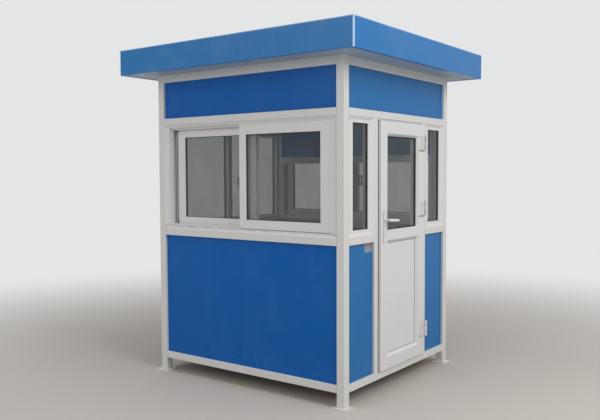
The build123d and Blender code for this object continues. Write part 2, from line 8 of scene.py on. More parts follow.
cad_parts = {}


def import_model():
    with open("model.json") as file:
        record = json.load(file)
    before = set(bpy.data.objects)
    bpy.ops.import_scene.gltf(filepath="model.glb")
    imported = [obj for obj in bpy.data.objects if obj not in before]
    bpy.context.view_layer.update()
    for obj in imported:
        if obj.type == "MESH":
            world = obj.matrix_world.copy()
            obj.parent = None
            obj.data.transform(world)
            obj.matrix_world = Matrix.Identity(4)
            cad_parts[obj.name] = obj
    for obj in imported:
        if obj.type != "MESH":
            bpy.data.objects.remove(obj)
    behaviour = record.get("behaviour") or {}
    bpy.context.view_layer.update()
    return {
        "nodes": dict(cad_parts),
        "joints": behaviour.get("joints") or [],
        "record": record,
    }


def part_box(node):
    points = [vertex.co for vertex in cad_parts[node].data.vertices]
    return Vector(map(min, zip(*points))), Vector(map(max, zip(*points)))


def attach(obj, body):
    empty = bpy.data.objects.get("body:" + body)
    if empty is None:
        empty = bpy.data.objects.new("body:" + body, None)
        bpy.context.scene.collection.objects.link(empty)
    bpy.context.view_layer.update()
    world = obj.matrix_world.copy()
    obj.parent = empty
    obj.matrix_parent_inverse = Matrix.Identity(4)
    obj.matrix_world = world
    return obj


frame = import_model()
slots = {part["node"]: part["material_slot"] for part in frame["record"]["subparts"]}

# Sizes in metres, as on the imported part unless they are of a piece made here
bite = 0.0002               # how far a piece made here runs into what carries it
post = 0.060                # square corner posts
profile_edge = 0.002        # bevel on the plastic profiles' outer edges
pane_rebate = 0.008         # how far a pane runs into its frame
gasket_lip = 0.0035         # rubber that shows on the glass
gasket_reach = 0.0060       # and on the reveal, out from the glass
door_gasket = (0.0050, 0.0055)  # lip on the pane, and how far it stands out
panel_gasket = (0.0030, 0.0020)
leaf_bead = 0.020           # slope between the door's panes and its welded frame
sash_clearance = 0.004      # outer sash to its jamb
strip_lap = 0.0024          # sealing strip over the bevels beside that gap
strip_depth = 0.012         # and into it
sealant_reach = 0.0215      # fillet of sealant on the face of a white frame
sealant_shy = 0.0004        # its edge, behind the steel's face
seam_width = 0.0016         # welded mitre of a plastic frame
seam_proud = 0.0003
seal_middle = 0.0115        # bulb of the door's seal, in from the door frame's edge
seal_half = 0.0035
seal_stem = 0.0020
seal_crown = 0.0030
buffer_depth = (0.068, 0.090)  # rubber in the track's jamb, behind the frame's face
buffer_proud = 0.0035
board_foot = 1.671          # blue board across the top of the rear window, inside
board_shy = 0.002           # its top, below the head rail's
board_inset = 0.043         # its ends, in from the window frame's
board_clear = 0.0002        # its face, behind the window frame
board_thick = 0.006
rail_height = 0.059         # white rail at the board's foot
rail_thick = 0.025
door_frame_face = 0.020     # its width
latch_gap = 0.010           # door frame to the leaf's body
lock_middle = 0.022         # middle of the lock, out from the leaf's back
lock_half = 0.010           # half widths of its face, its bolts and the strike plate
bolt_half = 0.006
strike_half = 0.013
lock_inset = 0.004          # ends of the lock's face, in from the handle plates'
strike_reach = 0.006        # ends of the strike plate, past those of the face
bolts = ((1.200, 1.224, 0.0030), (1.096, 1.126, 0.0016))  # foot, head and how far out
washer_radius = 0.0128      # nylon washers between the hinge knuckles
washer_height = 0.0022
knuckle_share = 0.42        # of a hinge's height, on the door
hinge_plate = 0.005         # thickness
hinge_screw_rise = 0.041    # end screws, from the hinge's middle
door_screw_columns = (0.013, 0.036)  # in from the free edge of the plate on the door
frame_screw_column = 0.009  # and of the plate on the frame
handle_screw_inset = 0.014  # from the ends of the handle plates
cylinder_proud = 0.003      # lock's cylinder, past the handle plates
screw_head = 0.0075
wood_screw_head = 0.0085
rivet_head = 0.0095
rivet_pitch = 0.30
rivet_inset = 0.014         # behind the fascia's face
fascia_margin = 0.10        # end of the fascia to the first rivet
roof_ribs = 6
roof_screw_pitch = 0.45
roof_margin = 0.15
bead_width = 0.007          # weld bead
bead_pitch = 0.0026
bead_shy = 0.004            # its end, short of the post's edge
trim_highlight_width = 0.009           # width of the painted highlight down each corner of the fascia, on both legs
worn_brim = (0.004, 0.008)  # paint rubbed pale, below the fascia's top edge
track_shadow_band = (0.024, 0.013)  # painted shadow, with dust, below the outer sash: where it begins, and is full
hinge_shadow = (0.013, 0.009)  # painted shadow below each hinge: where it begins, and is full
hinge_shadow_side = (0.048, 0.022)  # and beside its plate
hinge_shadow_shares = (0.35, 1.0, 1.0)  # how much, from the lowest hinge up
label_size = (0.095, 0.064)
label_inset = (0.003, 0.002)  # from the doorway and from the top of its panel
label_band = (0.52, 0.60)   # shares of its height, where the band begins

UP = Vector((0, 0, 1))


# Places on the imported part
def solids(node):
    """The boxes of a node's separate solids, from the lowest corner up."""
    mesh = bmesh.new()
    mesh.from_mesh(frame["nodes"][node].data)
    bmesh.ops.remove_doubles(mesh, verts=mesh.verts, dist=1e-5)
    left = set(mesh.verts)
    boxes = []
    while left:
        reached = [left.pop()]
        places = []
        while reached:
            vert = reached.pop()
            places.append(vert.co.copy())
            for edge in vert.link_edges:
                other = edge.other_vert(vert)
                if other in left:
                    left.remove(other)
                    reached.append(other)
        boxes.append(tuple(Vector([pick(place[axis] for place in places) for axis in range(3)])
                           for pick in (min, max)))
    mesh.free()
    return sorted(boxes, key=lambda box: tuple(round(part, 5) for part in box[0]))


class Wire:
    """One output of a node, which takes part in sums as a number does."""

    def __init__(self, graph, socket):
        self.graph = graph
        self.socket = socket

    def maths(self, operation, *terms):
        return self.graph.node("ShaderNodeMath", {"operation": operation}, dict(enumerate(terms)))

    def __add__(self, other):
        return self.maths("ADD", self, other)

    __radd__ = __add__

    def __sub__(self, other):
        return self.maths("SUBTRACT", self, other)

    def __rsub__(self, other):
        return self.maths("SUBTRACT", other, self)

    def __mul__(self, other):
        return self.maths("MULTIPLY", self, other)

    __rmul__ = __mul__

    def __abs__(self):
        return self.maths("ABSOLUTE", self)

    def larger(self, other):
        return self.maths("MAXIMUM", self, other)

    def over(self, low, high):
        """0 below low, 1 above high and a smooth climb between."""
        settings = {"interpolation_type": "SMOOTHSTEP", "clamp": True}
        return self.graph.node("ShaderNodeMapRange", settings,
                               {"Value": self, "From Min": low, "From Max": high})

    def under(self, low, high):
        """1 below low, 0 above high."""
        return 1 - self.over(low, high)


class Graph:
    """A node tree, with one method that adds any node to it."""

    def __init__(self, tree):
        self.tree = tree
        self.tree.nodes.clear()

    def node(self, kind, settings=None, sockets=None, out=0):
        made = self.tree.nodes.new(kind)
        for name, value in (settings or {}).items():
            setattr(made, name, value)
        for name, value in (sockets or {}).items():
            socket = made.inputs[name]
            if isinstance(value, Wire):
                self.tree.links.new(value.socket, socket)
            elif isinstance(value, list):
                for wire in value:
                    self.tree.links.new(wire.socket, socket)
            elif socket.type == "RGBA":
                socket.default_value = (*value, 1)
            else:
                socket.default_value = value
        return Wire(self, made.outputs[out]) if made.outputs else None

    def rays(self, *kinds):
        """1 for a ray of any of these kinds, 0 for the rest."""
        outputs = self.node("ShaderNodeLightPath").socket.node.outputs
        found, *others = (Wire(self, outputs[f"Is {kind} Ray"]) for kind in kinds)
        for other in others:
            found = found.larger(other)
        return found


class Finish(Graph):
    """A material, patterned by the place on the piece."""

    def __init__(self, name):
        self.material = bpy.data.materials.new(name)
        self.material.use_nodes = True
        super().__init__(self.material.node_tree)
        self.place = self.node("ShaderNodeTexCoord", out="Object")
        split = self.node("ShaderNodeSeparateXYZ", {}, {"Vector": self.place}).socket.node
        self.x, self.y, self.z = (Wire(self, output) for output in split.outputs)

    def stretched(self, x, y, z):
        """The place on the piece, scaled along each axis."""
        return self.node("ShaderNodeMapping", {}, {"Vector": self.place, "Scale": (x, y, z)})

    def noise(self, scale, detail=2.0, roughness=0.5, place=None):
        return self.node("ShaderNodeTexNoise", {}, {"Vector": place or self.place, "Scale": scale,
                                                    "Detail": detail, "Roughness": roughness})

    def patches(self, scale, low, high, detail=3.0, place=None):
        """Soft-edged patches of noise, 0 to 1."""
        return self.noise(scale, detail, 0.6, place).over(low, high)

    def mix(self, amount, first, second):
        """The second colour over the first, by an amount."""
        return self.node("ShaderNodeMix", {"data_type": "RGBA"}, {0: amount, 6: first, 7: second}, out=2)

    def bump(self, height, distance, strength=1.0, under=None):
        sockets = {"Height": height, "Distance": distance, "Strength": strength}
        if under:
            sockets["Normal"] = under
        return self.node("ShaderNodeBump", {}, sockets)

    def surface(self, colour, roughness, normal=None, specular=0.5, **others):
        """Finish the material with its shader, and return it."""
        sockets = {"Base Color": colour, "Roughness": roughness, "Specular IOR Level": specular, **others}
        if normal:
            sockets["Normal"] = normal
        shader = self.node("ShaderNodeBsdfPrincipled", {}, sockets)
        self.node("ShaderNodeOutputMaterial", {}, {"Surface": shader})
        return self.material


def scaled(colour, by):
    return tuple(by * part for part in colour)


# Finishes
steel_white = (0.70, 0.695, 0.675)
plastic_white = (0.715, 0.715, 0.71)
hardware_white = (0.70, 0.70, 0.695)
dust = (0.42, 0.385, 0.33)
panel_blue = (0.000, 0.112, 0.425)
side_lit_blue = (0.011, 0.156, 0.415)      # painted light: lighter and greener, for the door side where more light falls
fascia_blue = (0.016, 0.176, 0.458)
# pale blue of the painted highlight down the fascia's corners, also used for the paint rubbed pale on its
# brim
pale_highlight_and_wear = (0.44, 0.68, 0.98)


def white_steel(name, colour):
    """Brushed-on enamel over welded tube, dusty towards the ground."""
    coat = Finish(name)
    cloud = coat.noise(2.5, 3.0)
    speck = coat.noise(55.0, 4.0, 0.65)
    streak = coat.patches(1.0, 0.52, 0.78, 4.0, coat.stretched(30.0, 30.0, 1.3))
    grime = coat.z.under(0.05, 0.30) * coat.patches(22.0, 0.40, 0.72, 5.0)
    feet = coat.z.under(0.0, 0.045) * 0.12
    shade = coat.mix(cloud * 0.30, colour, scaled(colour, 0.90))
    shade = coat.mix(streak * 0.10, shade, dust)
    shade = coat.mix(grime * 0.10 + feet * speck, shade, dust)
    brushed = coat.noise(1.0, place=coat.stretched(260.0, 260.0, 22.0))
    peel = coat.bump(coat.noise(420.0), 0.0004, 0.20)
    return coat.surface(shade, 0.36 + speck * 0.16 + grime * 0.25, coat.bump(brushed, 0.0003, 0.12, peel))


def blue_paint(name, colour, dust_and_reflection, gloss, brim=None):
    """Coil-coated sheet: a smooth gloss, faintly wavy, with rain marks, a film of dust whose pale blue,
    where heavy, is partly painted sky reflection, and a worn brim.
    """
    coat = Finish(name)
    cloud = coat.noise(1.4, 3.0)
    streak = coat.patches(1.0, 0.50, 0.80, 4.0, coat.stretched(26.0, 26.0, 0.8))
    film = coat.patches(3.5, 0.42, 0.75, 5.0)
    speck = coat.patches(160.0, 0.66, 0.74, 2.0)
    low = coat.z.under(0.15, 0.42) * coat.patches(30.0, 0.45, 0.72, 4.0)
    shade = coat.mix(cloud * 0.45, colour, scaled(colour, 0.86))
    # the pale blue film is dust, and where it is laid on heavy it is partly painted reflection of the sky
    shade = coat.mix(streak * dust_and_reflection * 0.5 + film * dust_and_reflection, shade, (0.20, 0.29, 0.42))
    shade = coat.mix(speck * 0.08 + low * 0.05, shade, (0.36, 0.36, 0.34))
    if brim:
        worn = coat.z.over(brim - worn_brim[1], brim - worn_brim[0]) * (0.30 + film * 0.25)
        shade = coat.mix(worn, shade, pale_highlight_and_wear)
    wave = coat.bump(coat.noise(1.0, 1.0, 0.4, coat.stretched(2.2, 2.2, 1.1)), 0.006, 0.35)
    return coat.surface(shade, 0.34 + streak * 0.12 + film * 0.08,
                        coat.bump(coat.noise(520.0), 0.0003, 0.12, wave), gloss)


def white_plastic(name="white window plastic", marks=lambda coat: 0.0):
    """Extruded profile: smooth and a little glossy, with a trace of dust, and darkened on the marks as
    painted shadow.
    """
    coat = Finish(name)
    cloud = coat.noise(1.8, 3.0)
    smear = coat.patches(6.0, 0.50, 0.78, 5.0)
    drip = coat.patches(1.0, 0.55, 0.80, 4.0, coat.stretched(42.0, 42.0, 1.6))
    shade = coat.mix(cloud * 0.28, plastic_white, scaled(plastic_white, 0.93))
    shade = coat.mix(smear * 0.05 + drip * 0.07, shade, dust)
    # painted shadow on the marks, in a dark dust colour
    shade = coat.mix(marks(coat), shade, scaled(dust, 0.55))
    return coat.surface(shade, 0.28 + smear * 0.16, coat.bump(coat.noise(300.0), 0.0002, 0.10))


def window_glass():
    """Float glass with a green cast and a thin, uneven film of dust, clearer to the lamps' light."""
    pane = Finish("window glass")
    film = pane.patches(4.0, 0.40, 0.80, 5.0)
    wiped = pane.patches(1.0, 0.45, 0.75, 3.0, pane.stretched(9.0, 9.0, 2.5))
    speck = pane.patches(240.0, 0.68, 0.74, 2.0)
    shade = pane.mix(film * 0.5, (0.030, 0.042, 0.038), (0.075, 0.088, 0.080))
    tint = 0.34 + film * 0.05 + wiped * 0.03 + speck * 0.08
    lamplight = pane.rays("Shadow", "Diffuse")
    return pane.surface(shade, 0.02 + film * 0.03, specular=0.85, Alpha=tint - lamplight * 0.28, IOR=1.5)


def plain(name, colour, roughness, metallic=0.0, grain=300.0, depth=0.0002, mottle=8.0, marks=None):
    """A finish of small pieces: mottled, with its own grain, and painted shadow on the marks."""
    coat = Finish(name)
    cloud = coat.noise(mottle, 3.0)
    fine = coat.noise(grain, 3.0, 0.6)
    shade = coat.mix(cloud * 0.5, colour, scaled(colour, 0.80))
    if marks:
        # painted shadow on the marks, in a dark dust colour
        shade = coat.mix(marks(coat), shade, scaled(dust, 0.55))
    return coat.surface(shade, roughness + fine * 0.14 - 0.07, coat.bump(fine, depth, 0.4),
                        Metallic=metallic)


def floor_board():
    """Film-faced board: brown, with a printed mesh and scuffs."""
    coat = Finish("floor board")
    figure = coat.noise(1.0, 5.0, 0.6, coat.stretched(3.0, 40.0, 40.0))
    scuff = coat.patches(14.0, 0.52, 0.75, 5.0)
    weave = coat.node("ShaderNodeTexWave", {"bands_direction": "X"},
                      {"Vector": coat.place, "Scale": 220.0, "Distortion": 0.0})
    shade = coat.mix(figure, (0.15, 0.095, 0.060), (0.27, 0.19, 0.125))
    shade = coat.mix(scuff * 0.4, shade, (0.34, 0.31, 0.27))
    return coat.surface(shade, 0.48 + scuff * 0.25, coat.bump(weave, 0.0003, 0.3))


def roof_sheet():
    """The roof's grey-white top, with dirt drawn along its ribs by rain, and its lining underneath in
    painted shade, darker and bluer than the top.
    """
    coat = Finish("roof sheet")
    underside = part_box("roof_panel")[0].z
    lining = coat.z.under(underside + 0.0008, underside + 0.0016)
    dirt = coat.patches(1.0, 0.38, 0.72, 5.0, coat.stretched(16.0, 1.2, 16.0))
    blot = coat.patches(5.0, 0.45, 0.75, 5.0)
    shade = coat.mix(dirt * 0.45, (0.60, 0.615, 0.62), (0.36, 0.34, 0.30))
    shade = coat.mix(blot * 0.25, shade, (0.28, 0.27, 0.24))
    # painted shade: the underside takes a darker blue-grey than the top, with a blue cast as painted
    # reflection of the fascia
    under = coat.mix(coat.noise(2.0, 3.0) * 0.4, (0.36, 0.44, 0.56), (0.31, 0.39, 0.50))
    shade = coat.mix(lining, shade, under)
    return coat.surface(shade, 0.42 + dirt * 0.25, coat.bump(coat.noise(380.0), 0.0003, 0.15))


def corner_trim():
    """A pale line down the corner, a painted highlight where the rounded corner catches the light, with the
    fascia's blue on the legs beside it.
    """
    coat = Finish("fascia trim")
    low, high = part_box("corner_trims")
    centre = (low + high) / 2
    across, deep = ((edge - middle) - abs(wire - middle) for wire, edge, middle in
                    ((coat.x, high.x, centre.x), (coat.y, high.y, centre.y)))
    # painted highlight: the pale line along the corner's arris
    bead = across.larger(deep).under(trim_highlight_width - 0.0005, trim_highlight_width)
    wear = coat.patches(30.0, 0.45, 0.75, 4.0)
    pale = coat.mix(wear * 0.25, pale_highlight_and_wear, scaled(pale_highlight_and_wear, 0.80))
    legs = coat.mix(wear * 0.20, fascia_blue, scaled(fascia_blue, 0.85))
    return coat.surface(coat.mix(bead, legs, pale), 0.30 + wear * 0.15,
                        coat.bump(coat.noise(500.0), 0.0001, 0.3))


def track_shadow_and_dust(coat):
    """Painted shadow under the outer sash, with some dust, along the edge of the front and rear tracks."""
    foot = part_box("front_window_outer_sash")[0].z
    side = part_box("left_window_frame")[1].y
    line = coat.z.over(foot - track_shadow_band[0], foot - track_shadow_band[1]) * coat.z.under(foot - 0.001, foot + 0.002)
    line = line * abs(coat.y).over(side + 0.010, side + 0.020)
    dirt = coat.patches(1.0, 0.35, 0.70, 4.0, coat.stretched(14.0, 14.0, 60.0))
    return line * (0.14 + dirt * 0.26)


def hinge_shadow_marks(coat):
    """Painted shadow under each hinge, a dark band that runs down a little way."""
    hinges = solids("hinge_door_leaves")
    low, high = hinges[0]
    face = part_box("door_leaf")[1].x
    across = coat.y.over(low.y - hinge_shadow_side[0], low.y - hinge_shadow_side[1])
    across = across * coat.y.under(high.y - 0.002, high.y + 0.002) * coat.x.over(face - 0.002, face - 0.001)
    grain = 0.40 + coat.noise(1.0, 4.0, 0.6, coat.stretched(90.0, 260.0, 60.0)) * 0.85
    lines = sum(share * coat.z.over(hinge[0].z - hinge_shadow[0], hinge[0].z - hinge_shadow[1])
                * coat.z.under(hinge[0].z + 0.003, hinge[0].z + 0.006)
                for share, hinge in zip(hinge_shadow_shares, hinges))
    return lines * across * grain * 0.85


finishes = {
    "white_steel": white_steel("white steel paint", steel_white),
    "blue_panel": blue_paint("blue wall panel", panel_blue, dust_and_reflection=0.050, gloss=0.17),
    "white_plastic": white_plastic(),
    "window_glass": window_glass(),
    "grey_latch": plain("grey latch", (0.20, 0.205, 0.215), 0.45),
    "white_hardware": plain("white hardware", hardware_white, 0.32),
    "floor_board": floor_board(),
    "floor_joist": white_steel("joist paint", scaled(steel_white, 0.82)),
    "roof_panel": roof_sheet(),
    # the fascia's heavy pale film is partly painted reflection of the sky
    "fascia_blue": blue_paint("blue fascia", fascia_blue, dust_and_reflection=0.18, gloss=0.28,
                              brim=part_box("fascia_front")[1].z),
    "trim_blue": corner_trim(),
}
# painted light: a lit copy of the wall blue, lighter, greener and with more film, for the door side's panels
side_lit_panel = blue_paint("side-lit wall panel", side_lit_blue, dust_and_reflection=0.070, gloss=0.20)
# the window frames and the sealant carry painted shadow under the outer sash
window_frame_plastic = white_plastic("window frame plastic", track_shadow_and_dust)
sealant = white_plastic("white sealant", track_shadow_and_dust)
rubber = plain("black rubber", (0.016, 0.016, 0.017), 0.62, grain=500.0, depth=0.0003)
kick_rubber = plain("grey rubber", (0.36, 0.36, 0.355), 0.60, grain=500.0, depth=0.0003)
nylon = plain("grey nylon", (0.085, 0.085, 0.09), 0.45)
pile = plain("grey pile", (0.24, 0.235, 0.225), 0.85, grain=900.0, depth=0.0006, mottle=30.0)
stainless = plain("stainless steel", (0.52, 0.52, 0.51), 0.30, metallic=1.0, grain=900.0, depth=0.0001)
zinc = plain("zinc-plated steel", (0.50, 0.51, 0.52), 0.42, metallic=1.0)
painted_weld = plain("painted weld", (0.62, 0.61, 0.585), 0.42, grain=260.0, depth=0.0004, mottle=60.0)

own_finish = {
    # painted light: the door side's panels take the lit copy of the wall blue
    "lower_panel_door_near": side_lit_panel,
    "lower_panel_door_far": side_lit_panel,
    "upper_panel_right": side_lit_panel,
    "front_window_frame": window_frame_plastic,
    "rear_window_frame": window_frame_plastic,
    # the door leaf and the hinge plates carry painted shadow under each hinge
    "door_leaf": white_plastic("door leaf plastic", hinge_shadow_marks),
    "hinge_door_leaves": plain("hinge plates", hardware_white, 0.32, marks=hinge_shadow_marks),
    "door_levers": plain("lever enamel", (0.80, 0.80, 0.795), 0.28),
}
for name, node in frame["nodes"].items():
    node.data.materials.clear()
    node.data.materials.append(own_finish.get(name, finishes[slots[name]]))


# Places on the walls
post_low, post_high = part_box("corner_posts")


class Wall:
    """A side of the booth: along from its left post, up from the ground, out from its steel."""

    def __init__(self, corner, run, outwards):
        self.corner = Vector(corner)
        self.run = Vector(run)
        self.outwards = Vector(outwards)

    def point(self, along, up, out):
        return self.corner + along * self.run + up * UP + out * self.outwards

    def spans(self, box):
        """A box's ranges along, up and out of the wall."""
        ends = [corner - self.corner for corner in box]
        return [tuple(sorted(end.dot(axis) for end in ends)) for axis in (self.run, UP, self.outwards)]

    def ranges(self, node):
        return self.spans(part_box(node))


walls = {
    "front": Wall((post_low.x, post_low.y, 0), (1, 0, 0), (0, -1, 0)),
    "right": Wall((post_high.x, post_low.y, 0), (0, 1, 0), (1, 0, 0)),
    "rear": Wall((post_high.x, post_high.y, 0), (-1, 0, 0), (0, 1, 0)),
    "left": Wall((post_low.x, post_high.y, 0), (0, -1, 0), (-1, 0, 0)),
}


def shrink(span, by):
    return (span[0] + by, span[1] - by)


def about(middle, half):
    return (middle - half, middle + half)


def spaced(span, margin, pitch):
    """Places from one margin of a span to the other, even and about a pitch apart."""
    reach = span[1] - span[0] - 2 * margin
    count = round(reach / pitch)
    return [span[0] + margin + reach * number / count for number in range(count + 1)]


def rounded(along, up, corner, steps=5):
    """The outline of a rectangle with rounded corners."""
    outline = []
    centres = ((along[1] - corner, up[1] - corner, 0), (along[0] + corner, up[1] - corner, 90),
               (along[0] + corner, up[0] + corner, 180), (along[1] - corner, up[0] + corner, 270))
    for centre_along, centre_up, start in centres:
        for step in range(steps + 1):
            angle = math.radians(start + 90 * step / steps)
            outline.append((centre_along + corner * math.cos(angle), centre_up + corner * math.sin(angle)))
    return outline


class Piece:
    """A mesh in the making, which ends as one object on a body."""

    def __init__(self):
        self.mesh = bmesh.new()

    def sweep(self, loops, closed=False):
        """Skin loops of points in turn, with a cap at each end of an open row."""
        rows = [[self.mesh.verts.new(point) for point in loop] for loop in loops]
        for near, far in zip(rows, rows[1:] + rows[:1] if closed else rows[1:]):
            for corners in zip(near, near[1:] + near[:1], far[1:] + far[:1], far):
                self.mesh.faces.new(corners)
        if not closed:
            self.mesh.faces.new(rows[0])
            self.mesh.faces.new(rows[-1])

    def course(self, wall, corners, profile, closed=False):
        """A profile of (inwards, out) points, run past corners of (along, its turn, up, its turn)."""
        self.sweep([[wall.point(a + turn_a * inwards, u + turn_u * inwards, out) for inwards, out in profile]
                    for a, turn_a, u, turn_u in corners], closed)

    def ring(self, wall, along, up, profile):
        """A profile run round a rectangle with mitred corners."""
        self.course(wall, ((along[0], 1, up[0], 1), (along[1], -1, up[0], 1),
                           (along[1], -1, up[1], -1), (along[0], 1, up[1], -1)), profile, closed=True)

    def arch(self, wall, along, up, profile):
        """The same up one side, over and down the other."""
        self.course(wall, ((along[0], 1, up[0], 0), (along[0], 1, up[1], -1),
                           (along[1], -1, up[1], -1), (along[1], -1, up[0], 0)), profile)

    def bar(self, wall, along, up, out, bevel):
        """A straight bar along a wall, with bevelled edges."""
        high = up[1] - up[0]
        back, front = out
        section = [(bevel, back), (high - bevel, back), (high, back + bevel), (high, front - bevel),
                   (high - bevel, front), (bevel, front), (0, front - bevel), (0, back + bevel)]
        self.course(wall, ((along[0], 0, up[0], 1), (along[1], 0, up[0], 1)), section)

    def disc(self, centre, radius, height, bevel, sides=24):
        """A flat round washer about Z."""
        half = height / 2
        self.sweep([[centre + Vector((size * math.cos(turn), size * math.sin(turn), level))
                     for turn in (math.tau * step / sides for step in range(sides))]
                    for size, level in ((radius - bevel, -half), (radius, bevel - half),
                                        (radius, half - bevel), (radius - bevel, half))])

    def plate(self, wall, along, up, out, corner, bevel):
        """A plate with rounded corners and a bevelled outer face."""
        levels = ((0, out[0]), (0, out[1] - bevel), (bevel, out[1]))
        self.sweep([[wall.point(a, u, level) for a, u in
                     rounded(shrink(along, inset), shrink(up, inset), corner - inset)]
                    for inset, level in levels])

    def stroke(self, wall, start, end, width, out):
        """A low ridge on a wall's plane, from one point to another."""
        run = Vector((end[0] - start[0], end[1] - start[1])).normalized()
        side = Vector((-run.y, run.x)) * width / 2
        outline = [(start[0] + side.x, start[1] + side.y), (start[0] - side.x, start[1] - side.y),
                   (end[0] - side.x, end[1] - side.y), (end[0] + side.x, end[1] + side.y)]
        self.sweep([[wall.point(a, u, level) for a, u in outline] for level in out])

    def finish(self, name, body, slot=None, material=None):
        """End the mesh as an object, in its slot's finish or in its own."""
        bmesh.ops.recalc_face_normals(self.mesh, faces=self.mesh.faces)
        data = bpy.data.meshes.new(name)
        self.mesh.to_mesh(data)
        self.mesh.free()
        data.materials.append(material or finishes[slot])
        settle(name, data, body)


def settle(name, data, body):
    """Put a finished mesh in the scene, on its body."""
    made = bpy.data.objects.new(name, data)
    bpy.context.scene.collection.objects.link(made)
    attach(made, body)


def panes(side, node):
    """Each pane's wall, the part of it that shows, along and up, and its back and front."""
    shown = []
    for box in solids(node):
        along, up, out = walls[side].spans(box)
        shown.append((walls[side], shrink(along, pane_rebate), shrink(up, pane_rebate), out))
    return shown


def seat_pane(gasket, pane, wedge, lip):
    """Rubber round a pane: a wedge in front of it, and a thin lip behind it."""
    wall, along, up, (back, front) = pane
    gasket.ring(wall, along, up, [(inwards, front + out) for inwards, out in wedge])
    gasket.ring(wall, along, up, [(0, back), (lip, back), (lip - 0.0008, back - 0.0022),
                                  (-0.0005, back - 0.0036)])


def glass_gaskets():
    """Black rubber round each pane of the windows, out along part of the reveal."""
    gasket = Piece()
    wedge = [(0, 0), (gasket_lip, 0), (gasket_lip, 0.0016), (0.0020, 0.0036),
             (0.0011, gasket_reach - 0.0006), (0.0005, gasket_reach), (0, gasket_reach)]
    for side, node in (("front", "front_window_glass"), ("rear", "rear_window_glass"),
                       ("left", "left_window_glass"), ("right", "sidelight_glass")):
        for pane in panes(side, node):
            seat_pane(gasket, pane, wedge, gasket_lip)
    gasket.finish("glass_gaskets", "booth", material=rubber)


def door_gaskets():
    """Rubber round the door's pane and its kick panel, which laps onto the slopes beside them."""
    for name, node, (lip, proud), material in (
            ("door_glass_gasket", "door_glass", door_gasket, rubber),
            ("door_panel_gasket", "door_kick_panel", panel_gasket, kick_rubber)):
        gasket = Piece()
        wedge = [(0, 0), (lip, 0), (lip, 0.0016), (0.4 * lip, proud),
                 (-0.85 * proud, proud + 0.0006), (-0.85 * proud, 0.95 * proud)]
        for pane in panes("right", node):
            seat_pane(gasket, pane, wedge, lip)
        gasket.finish(name, "door", material=material)


def sealant_fillets():
    """White sealant that closes the step between the steel and each white frame."""
    fillet = Piece()
    for side, node in (("front", "front_window_frame"), ("rear", "rear_window_frame"),
                       ("left", "left_window_frame"), ("right", "sidelight_frames")):
        for box in solids(node):
            along, up, (_, front) = walls[side].spans(box)
            curve = [(0, front - bite), (0, -sealant_shy), (0.0015, -sealant_shy - 0.0004),
                     (sealant_reach - 0.003, front + 0.0010), (sealant_reach, front + 0.0001),
                     (sealant_reach, front - bite)]
            fillet.ring(walls[side], along, up, curve)
    fillet.finish("frame_sealant", "booth", "white_plastic", sealant)


def sash_seals():
    """White strips over the outer sashes' gaps at the head and the outer jamb, and grey pile below."""
    strip = Piece()
    foot = Piece()
    gap = sash_clearance
    for side in ("front", "rear"):
        wall = walls[side]
        along, up, (_, front) = wall.ranges(f"{side}_window_outer_sash")
        face = wall.ranges(f"{side}_window_frame")[2][1]
        deep = front - strip_depth
        section = [(gap + strip_lap, front + bite), (-strip_lap, face + bite), (-strip_lap, face - 0.0003),
                   (bite, face - 0.0022), (bite, deep), (gap - bite, deep), (gap - bite, front - 0.0022),
                   (gap + strip_lap, front - 0.0003)]
        jamb, head = along[1] + gap, up[1] + gap
        strip.course(wall, ((along[0], 0, head, -1), (jamb, -1, head, -1), (jamb, -1, up[0], 0)), section)
        foot.bar(wall, along, (up[0] - gap + 0.0001, up[0] - 0.0001), (deep, front - 0.0025), 0.0005)
    strip.finish("sash_strips", "booth", "white_plastic")
    foot.finish("sash_pile", "booth", material=pile)


def jamb_buffers():
    """Rubber in the jamb of each sliding window, which the inner sash closes on."""
    buffer = Piece()
    deep, shallow = -buffer_depth[1], -buffer_depth[0]
    proud = buffer_proud
    section = [(-0.0005, deep), (proud - 0.001, deep), (proud, deep + 0.002), (proud, deep + 0.008),
               (0.0015, deep + 0.010), (0.0015, shallow - 0.010), (proud, shallow - 0.008),
               (proud, shallow - 0.002), (proud - 0.001, shallow), (-0.0005, shallow)]
    for side in ("front", "rear"):
        wall = walls[side]
        sash_along, sash_up, _ = wall.ranges(f"{side}_window_outer_sash")
        frame_along = wall.ranges(f"{side}_window_frame")[0]
        jamb = frame_along[0] + (frame_along[1] - sash_along[1] - sash_clearance)
        buffer.course(wall, ((jamb, 1, sash_up[0], 0), (jamb, 1, sash_up[1], 0)), section)
    buffer.finish("jamb_buffers", "booth", material=rubber)


def rear_board():
    """A blue board and a white rail inside, across the top of the rear window."""
    wall = walls["rear"]
    along, _, out = wall.ranges("rear_window_frame")
    along = shrink(along, board_inset)
    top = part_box("head_rails")[1].z - board_shy
    face = out[0] - board_clear
    board = Piece()
    board.bar(wall, along, (board_foot, top), (face - board_thick, face), 0.001)
    board.finish("rear_inner_board", "booth", "blue_panel")
    rail = Piece()
    rail.bar(wall, along, (board_foot - rail_height, board_foot), (face - rail_thick, face), 0.003)
    rail.finish("rear_inner_rail", "booth", "white_plastic")


def hinge_washers():
    """Grey nylon washers where the knuckles of each hinge meet."""
    axis = next(joint["pos_m"] for joint in frame["joints"] if joint["name"] == "door_swing")
    washers = Piece()
    for low, high in solids("hinge_frame_leaves"):
        for level in about((low.z + high.z) / 2, knuckle_share * (high.z - low.z) / 2):
            washers.disc(Vector((axis[0], axis[1], level)), washer_radius, washer_height, 0.0004)
    washers.finish("hinge_washers", "booth", material=nylon)


def seams_between(piece, wall, inner, outer, face):
    """A welded mitre at each corner of a frame, from its opening to its outer edge."""
    for pick_along in (0, 1):
        for pick_up in (0, 1):
            start = (inner[0][pick_along], inner[1][pick_up])
            end = (outer[0][pick_along], outer[1][pick_up])
            piece.stroke(wall, start, end, seam_width, (face - bite, face + seam_proud))


